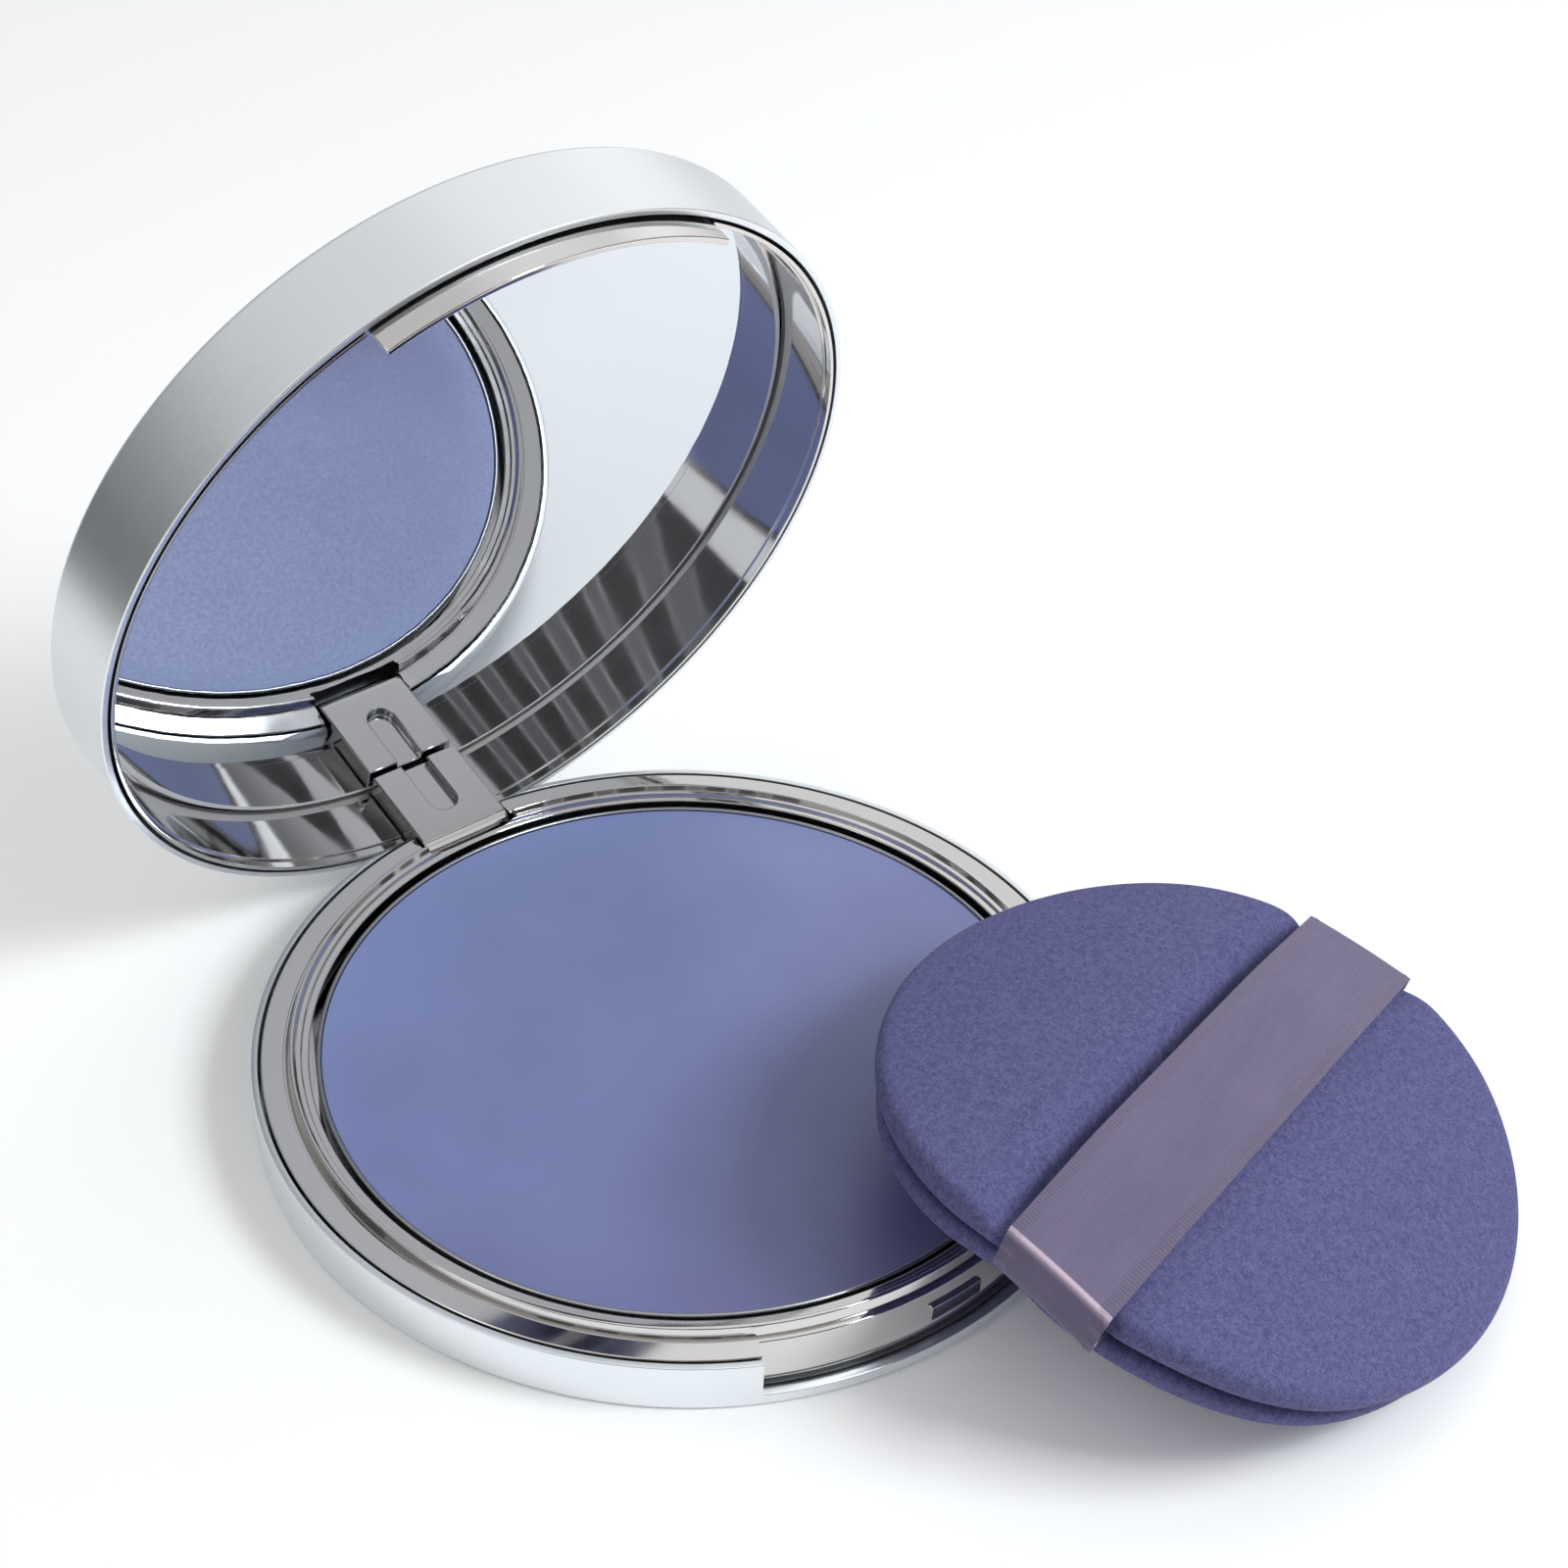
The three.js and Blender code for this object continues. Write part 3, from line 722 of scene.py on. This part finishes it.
def pad_radius(angle):
    """The puff isn't quite round: its ribbon pinches it, and its free lobe is pressed out."""
    degrees = math.degrees(angle)
    radius = PUFF_R - 0.42 * MM
    for rise, middle, width in ((0.85, -138, 24), (0.35, 140, 18), (-0.75, 171, 9), (-0.75, -189, 9)):
        radius += rise * MM * bell(degrees, middle, width)
    return radius


def pad_section(radius, low, high, low_crown, high_crown, edge):
    """A crowned pad's section with soft round edges."""
    middle, half = 0.5 * (low + high), 0.5 * (high - low)
    flat, crown_steps, edge_steps = radius - edge, 40, 16
    crown = [(k / crown_steps, 1 - (k / crown_steps)**2.4) for k in range(crown_steps)]
    under = [(share * flat, low - low_crown * rise) for share, rise in crown]
    over = [(share * flat, high + high_crown * rise) for share, rise in reversed(crown)]
    side = []
    for k in range(edge_steps + 1):
        a = math.pi * (k / edge_steps - 0.5)
        rise = math.copysign(abs(math.sin(a)) ** 0.9, a)
        side.append((flat + edge * math.cos(a) ** 0.8, middle + half * rise))
    return under + side + over


def back_shape(point):
    """Presses the flat back pad down under the ribbon's edges and in at its ends."""
    x, y, z = point
    top = min(max((z + PAD_T) / PAD_T, 0), 1)
    across = y - RIBBON_OFF
    under_ribbon = 1 / (1 + math.exp((abs(across) - 5.2 * MM) / (0.4 * MM)))
    near_end = min(max((abs(x) - 20 * MM) / (6 * MM), 0), 1)
    trough = 0.6 * near_end - 1.0
    for rise, middle, width in (
            (trough, 5.4, 1.7), (trough, 5.3, 0.7), (-0.3, -5.6, 1.3), (0.3, 14, 7), (0.3, -14, 7)):
        z += top * rise * MM * bell(across, middle * MM, width * MM)
    z -= top * under_ribbon * near_end * 0.55 * MM
    pinch = 0.2 + 0.9 * top if x < 0 else 0.5
    x -= math.copysign(under_ribbon * near_end * pinch * MM, x)
    return drooped(Vector((x, y, z)))


def back_pad():
    """The upper foam layer, which the ribbon presses in."""
    def section(angle):
        return pad_section(pad_radius(angle), -PAD_T, 0, 0, 0.5 * MM, 1.2 * MM)

    pad = revolve("puff_back", section, FOAM, steps=240)
    settle(pad, back_shape, sharp_degrees=80)
    return stands_for(pad, "puff", "puff_foam", "puff_back_pad")


def face_pad():
    """The lower foam layer, whose crowned face picks up the cream."""
    top = -PAD_T - PAD_SPACE
    low = top - FACE_EDGE_T

    def section(angle):
        pinch = 0.6 * MM * (bell(math.degrees(angle), 175, 16) + bell(math.degrees(angle), -185, 16))
        radius = pad_radius(angle) - 0.25 * MM - pinch
        return pad_section(radius, low, top, FACE_DEPTH - FACE_EDGE_T, 0, 1.0 * MM)

    pad = revolve("puff_face", section, FOAM, steps=240)
    settle(pad, drooped, sharp_degrees=80)
    return stands_for(pad, "puff", "puff_foam", "puff_face_pad")


def ribbon_line():
    """The ribbon's path in the plane of its length and the puff's thickness."""
    tail, tail_end = -PAD_T - 0.5 * PAD_SPACE, 23.4 * MM
    far = RIBBON_FOLD - 0.3 * MM
    return rounded([
        (-tail_end, tail), (-27.0 * MM, tail, 0.3 * MM), (-RIBBON_FOLD, 0.1 * MM, 0.3 * MM),
        (-0.5 * PUFF_R, 0.95 * MM, 60 * MM), (0.5 * PUFF_R, 1.0 * MM, 60 * MM),
        (far, 0.35 * MM, 0.5 * MM), (far + 0.6 * MM, tail, 0.3 * MM), (tail_end, tail)], steps=8)


def ribbon_shape(point):
    """Sets the ribbon a little to one side, lifts its raised edge and skews its near fold."""
    x, y, z = point
    raised = min(max(y / (0.5 * RIBBON_W), 0), 1) * (1 - min(abs(x) / RIBBON_FOLD, 1) ** 4)
    z += 0.4 * MM * raised**2
    if x < 0:
        x += 0.18 * y * min(-x / RIBBON_FOLD, 1) ** 3
    return drooped(Vector((x, y + RIBBON_OFF, z)))


def ribbon():
    """A woven strip with corded edges over the back pad, down its side and in between the pads."""
    line = [Vector(p) for p in ribbon_line()]
    columns = 36
    points, rows = [], []
    for i, point in enumerate(line):
        along = (line[min(i + 1, len(line) - 1)] - line[max(i - 1, 0)]).normalized()
        out = Vector((-along.y, along.x))
        row = []
        for face in (1, -1):
            for k in range(columns + 1):
                share = face * (2 * k / columns - 1)
                cords = 0.05 * MM * (bell(abs(share), 0.97, 0.02) + bell(abs(share), 0.88, 0.02))
                p = point + out * (face * (RIBBON_T / 2 + cords))
                row.append(len(points))
                points.append(Vector((p.x, share * RIBBON_W / 2, p.y)))
        rows.append(row)
    faces = []
    for first, second in zip(rows, rows[1:]):
        for k in range(len(first)):
            m = (k + 1) % len(first)
            faces.append((first[k], first[m], second[m], second[k]))
    faces += [tuple(rows[0]), tuple(reversed(rows[-1]))]
    strip = add_mesh("ribbon", points, faces, RIBBON)
    settle(strip, ribbon_shape, sharp_degrees=50)
    return stands_for(strip, "puff", "ribbon", "puff_ribbon")


# ---- pieces that stay as the CAD made them ----------------------------------------------------
def finish_cad_nodes():
    """Gives the hidden pieces their finish."""
    for node, material in (("hinge_pin", STEEL), ("pan_adhesive", GLUE), ("mirror_adhesive", GLUE),
                           ("puff_bond_film", GLUE)):
        mesh = frame["nodes"][node].data
        mesh.materials.clear()
        mesh.materials.append(material)


# ---- stage ----------------------------------------------------------------------------------
def camera():
    """A short portrait lens over the compact's left front corner, tipped a little."""
    azimuth, elevation, roll = (math.radians(d) for d in (-41.21, 37.21, 3.59))
    target = Vector((15.01, 5.05, 24.95)) * MM
    distance = 230.5 * MM
    back = Vector((math.sin(azimuth), -math.cos(azimuth), 0)) * math.cos(elevation)
    back.z = math.sin(elevation)
    level = Vector((math.cos(azimuth), math.sin(azimuth), 0))
    upright = back.cross(level)
    right = level * math.cos(roll) + upright * math.sin(roll)
    up = upright * math.cos(roll) - level * math.sin(roll)
    data = bpy.data.cameras.new("camera")
    data.lens = 64.8
    data.sensor_width = 36
    data.shift_x = -0.0117
    data.shift_y = -0.0274
    data.clip_start = 0.01
    data.clip_end = 20
    obj = bpy.data.objects.new("camera", data)
    bpy.context.scene.collection.objects.link(obj)
    turn = Matrix((right, up, back)).transposed().to_4x4()
    obj.matrix_world = Matrix.Translation(target + back * distance) @ turn
    bpy.context.scene.camera = obj


def floor():
    """A wide pale floor that the compact lies on."""
    half = 3.0
    mesh = bpy.data.meshes.new("floor")
    corners = [(-half, -half, 0), (half, -half, 0), (half, half, 0), (-half, half, 0)]
    mesh.from_pydata(corners, [], [(0, 1, 2, 3)])
    mesh.materials.append(floor_paint())
    obj = bpy.data.objects.new("floor", mesh)
    bpy.context.scene.collection.objects.link(obj)


LIGHT_DISTANCE = 0.6
CARD_DISTANCE = 0.25


def softbox(name, direction, size, power, tint=(1, 1, 1)):
    """A rectangular light in that direction from the set, turned towards it."""
    place, aim = direction * LIGHT_DISTANCE, Vector((0, 0, 0.01))
    light = bpy.data.lights.new(name, "AREA")
    light.shape = "RECTANGLE"
    light.size, light.size_y = size
    light.energy = power
    light.color = tint
    obj = bpy.data.objects.new(name, light)
    bpy.context.scene.collection.objects.link(obj)
    turn = (place - aim).to_track_quat("Z", "Y").to_matrix().to_4x4()
    obj.matrix_world = Matrix.Translation(place) @ turn
    return obj


def heading(azimuth, elevation):
    """A direction, from degrees round from +X and degrees up."""
    a, e = math.radians(azimuth), math.radians(elevation)
    return Vector((math.cos(a) * math.cos(e), math.sin(a) * math.cos(e), math.sin(e)))


def flags():
    """Grey cards round the set, which are seen only in reflections."""
    greys = []
    for name, tone in (("card_dark", 0.07), ("card_mid", 0.16)):
        paint = Surface(name, Roughness=1.0, Specular_IOR_Level=0.0)
        dark, pale = (tone, tone, tone, 1), (1.4 * tone, 1.4 * tone, 1.45 * tone, 1)
        paint.set("Base Color", paint.blend(paint.noise((20, 20, 20)), dark, pale))
        greys.append(paint.material)
    card("card_left", Vector((-0.035, 0.02, 0)), 137, 0.135, 0.13, (0, 0.055), greys[0])
    middle_of_set, distance = Vector((0, 0, 0)), CARD_DISTANCE
    start, gap = -160, 0.3
    for k, width in enumerate((9, 4, 6, 3, 7, 5, 8, 4, 9, 6, 10, 5, 9)):
        turn = start + width / 2
        span = 2 * distance * math.tan(math.radians(width / 2 - gap))
        high = 0.12 + 0.30 * min(max((turn + 150) / 35, 0), 1)
        card(f"card_front_{k}", middle_of_set, turn, distance, span, (0, high), greys[k % 2])
        start += width
    for k, (turn, high) in enumerate(((-47, 0.2), (-40, 0.14), (-33, 0.1))):
        card(f"card_right_{k}", middle_of_set, turn, distance, 0.022, (0.03, high), greys[k % 2])


def card(name, origin, azimuth, distance, width, heights, material):
    """An upright card that faces its origin."""
    centre = origin + heading(azimuth, 0) * distance
    side = heading(azimuth + 90, 0) * width / 2
    corners = [centre + side * s + Vector((0, 0, z)) for s, z in (
        (-1, heights[0]), (1, heights[0]), (1, heights[1]), (-1, heights[1]))]
    obj = add_mesh(name, corners, [(0, 1, 2, 3)], material)
    settle(obj)
    for kind in ("camera", "diffuse", "transmission", "shadow"):
        setattr(obj, "visible_" + kind, False)


def studio():
    """A white room with a key light, a glint that only reflections show and a light from the left."""
    world = bpy.data.worlds.new("studio")
    bpy.context.scene.world = world
    world.use_nodes = True
    sky = NodeTree(world.node_tree)
    direction = sky.add("ShaderNodeTexCoord").outputs["Generated"]
    height = sky.add("ShaderNodeSeparateXYZ", {"Vector": direction}).outputs["Z"]

    def patch(azimuth, elevation, inner, outer, amount):
        """A soft round patch of the room, between two angles from its middle."""
        dot = sky.add("ShaderNodeVectorMath", {0: direction, 1: heading(azimuth, elevation)},
                      operation="DOT_PRODUCT").outputs["Value"]
        start, stop = math.cos(math.radians(outer)), math.cos(math.radians(inner))
        return sky.spread(dot, 0, amount, start, stop, True)

    room = sky.spread(height, 0.24, 0.76, 0.0, 1.0)
    for bright in ((38, 38, 10, 40, 0.34), (33, 14, 6, 26, 0.4), (-60, 14, 10, 30, 0.36)):
        room = sky.maths("ADD", room, patch(*bright))
    room = sky.maths("MULTIPLY", room, sky.maths("SUBTRACT", 1.0, patch(150, 22, 5, 38, 0.35)))
    sky.links.new(room, sky.nodes["Background"].inputs["Strength"])
    sky.nodes["Background"].inputs["Color"].default_value = (0.985, 0.995, 1.0, 1)
    key = softbox("key", heading(-50, 43), (0.22, 0.22), 2.4, (0.95, 0.98, 1.0))
    key.visible_glossy = False
    glint = softbox("glint", heading(-49, 64), (0.07, 0.07), 1.4, (0.85, 0.93, 1.0))
    glint.visible_diffuse = False
    softbox("left", heading(172, 48), (0.12, 0.3), 0.25)
    flags()
    bpy.context.scene.view_settings.view_transform = "Standard"


# ---- assembly -------------------------------------------------------------------------------
camera()
base_shell()
base_bezel()
catch_nib()
pan_tray()
cream_fill()
lid_shell()
lid_liner()
latch_tongue()
mirror_glass()
hinge_knuckle()
back_pad()
face_pad()
ribbon()
finish_cad_nodes()
floor()
studio()
